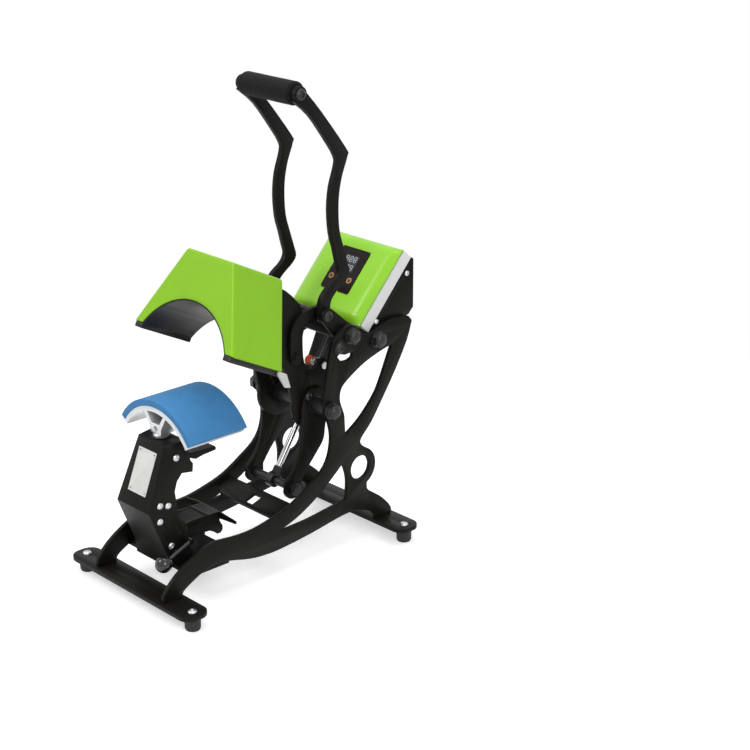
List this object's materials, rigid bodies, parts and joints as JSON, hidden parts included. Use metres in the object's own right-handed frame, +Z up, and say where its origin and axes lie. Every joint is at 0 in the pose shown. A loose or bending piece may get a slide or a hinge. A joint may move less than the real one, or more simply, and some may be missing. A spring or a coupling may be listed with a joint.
{
  "type": "cap heat press",
  "caption": "Clamshell cap heat press: curved heated head on toggle arms over a padded cap platen, between two arched side plates with a sloped controller.",
  "frame": {"origin": "centre of the bounding box in X and Y, at the underside of the rubber feet", "axes": "+X is the press's right seen from the front, -Y is its front (the platen), +Z is up"},
  "size_m": [0.226, 0.3984, 0.5695],
  "materials": {
    "black_paint": "satin",
    "black_rubber": "matte",
    "zinc_steel": "bright",
    "plain_sticker": "satin",
    "bright_steel": "turned",
    "black_oxide": "satin",
    "cast_aluminium": "satin",
    "blue_silicone": "matte",
    "green_paint": "gloss",
    "coated_aluminium": "satin",
    "pale_insulation": "matte",
    "orange_plastic": "gloss",
    "chrome": "polished",
    "black_foam": "matte",
    "pale_plastic": "satin",
    "green_plastic": "gloss",
    "dark_film": "gloss",
    "grey_window": "gloss",
    "dark_button": "satin",
    "black_plastic": "satin",
    "red_plastic": "gloss"
  },
  "bodies": {
    "frame": {"side_plate_left": "black_paint", "side_plate_right": "black_paint", "front_foot_bar": "black_paint", "rear_foot_bar": "black_paint", "rubber_feet": "black_rubber", "foot_screws": "zinc_steel", "base_plate": "black_paint", "mid_cross_plate": "black_paint", "stand_shell": "black_paint", "stand_screws": "zinc_steel", "stand_plate": "plain_sticker", "bill_support": "black_paint", "main_shaft": "bright_steel", "handle_shaft": "bright_steel", "strut_shaft": "bright_steel", "shaft_spacers": "black_oxide", "shaft_nuts": "black_oxide", "plate_bolts": "black_oxide", "controller_box": "black_paint", "controller_trim": "pale_plastic", "controller_cover": "green_plastic", "display_panel": "dark_film", "display_window": "grey_window", "button_rings": "orange_plastic", "box_screws": "zinc_steel", "power_inlet": "black_plastic", "switch_bezel": "black_plastic", "fuse_holder": "black_plastic"},
    "handle": {"handle_arm_left": "black_paint", "handle_arm_right": "black_paint", "foam_grip": "black_foam", "grip_rod": "bright_steel", "grip_bolts": "black_oxide", "crank_plates": "black_paint", "handle_tube": "black_paint", "link_shaft": "bright_steel"},
    "head_arm": {"head_cover": "green_paint", "head_back_plate": "black_paint", "heater_saddle": "coated_aluminium", "heat_shield_tab": "pale_insulation", "arm_plate_left": "black_paint", "arm_plate_right": "black_paint", "tail_plates": "black_paint", "pivot_tube": "black_oxide", "tail_shaft": "black_oxide", "arm_bolts": "black_oxide"},
    "adjuster": {"adjuster_knob": "bright_steel", "adjuster_cap": "orange_plastic"},
    "strut_barrel": {"strut_cylinder": "black_oxide"},
    "strut_piston_rod": {"strut_rod": "chrome"},
    "toggle_pair": {"toggle_links": "black_paint"},
    "platen": {"platen_extrusion": "cast_aluminium", "silicone_pad": "blue_silicone", "platen_post": "bright_steel"},
    "lock_ring": {"post_ring": "bright_steel"},
    "hold_down": {"hold_down_bail": "black_paint", "lever_and_ball": "black_plastic"},
    "up_button": {"button_up": "dark_button"},
    "down_button": {"button_down": "dark_button"},
    "rocker": {"power_switch": "red_plastic"}
  },
  "joints": [
    {"name": "handle_pull", "type": "hinge", "parent": "frame", "child": "handle", "pos_m": [0, 0.08925, 0.268], "axis": [1, 0, 0], "range_deg": [0, 70], "stiffness_Nm_per_rad": 1, "springref_deg": -171.89},
    {"name": "head_swing", "type": "hinge", "parent": "frame", "child": "head_arm", "pos_m": [0, 0.05725, 0.183], "axis": [1, 0, 0], "range_deg": [0, 26.51]},
    {"name": "strut_swing", "type": "hinge", "parent": "frame", "child": "strut_barrel", "pos_m": [0, 0.13125, 0.254], "axis": [1, 0, 0], "range_deg": [0, 13.34]},
    {"name": "strut_stroke", "type": "slide", "parent": "strut_barrel", "child": "strut_piston_rod", "axis": [0, 0.5478, 0.8366], "range_m": [0, 0.01592]},
    {"name": "toggle_swing", "type": "hinge", "parent": "handle", "child": "toggle_pair", "pos_m": [0, 0.06325, 0.295], "axis": [1, 0, 0], "range_deg": [-99.32, 0]},
    {"name": "platen_height", "type": "slide", "parent": "frame", "child": "platen", "axis": [0, 0, 1], "range_m": [0, 0.02]},
    {"name": "lock_ring_turn", "type": "hinge", "parent": "platen", "child": "lock_ring", "pos_m": [0, -0.13975, 0.19], "axis": [0, 0, 1], "continuous": true},
    {"name": "adjuster_turn", "type": "hinge", "parent": "head_arm", "child": "adjuster", "pos_m": [0.03, 0.07425, 0.227], "axis": [1, 0, 0], "continuous": true},
    {"name": "hold_down_lever", "type": "hinge", "parent": "frame", "child": "hold_down", "pos_m": [0, -0.13775, 0.072], "axis": [1, 0, 0], "range_deg": [-6, 24]},
    {"name": "up_button_press", "type": "slide", "parent": "frame", "child": "up_button", "axis": [0, 0.7419, -0.6705], "range_m": [0, 0.001], "stiffness_N_per_m": 300},
    {"name": "down_button_press", "type": "slide", "parent": "frame", "child": "down_button", "axis": [0, 0.7419, -0.6705], "range_m": [0, 0.001], "stiffness_N_per_m": 300},
    {"name": "rocker_tip", "type": "hinge", "parent": "frame", "child": "rocker", "pos_m": [0.01, 0.19475, 0.31], "axis": [1, 0, 0], "range_deg": [-12, 0]}
  ],
  "couplings": [
    {"joint": "head_swing", "follows": "handle_pull", "ratio": 0.37857},
    {"joint": "strut_swing", "follows": "handle_pull", "ratio": 0.19024},
    {"joint": "strut_stroke", "follows": "handle_pull", "m_per_rad": 0.013012},
    {"joint": "toggle_swing", "follows": "handle_pull", "ratio": -1.4186}
  ]
}
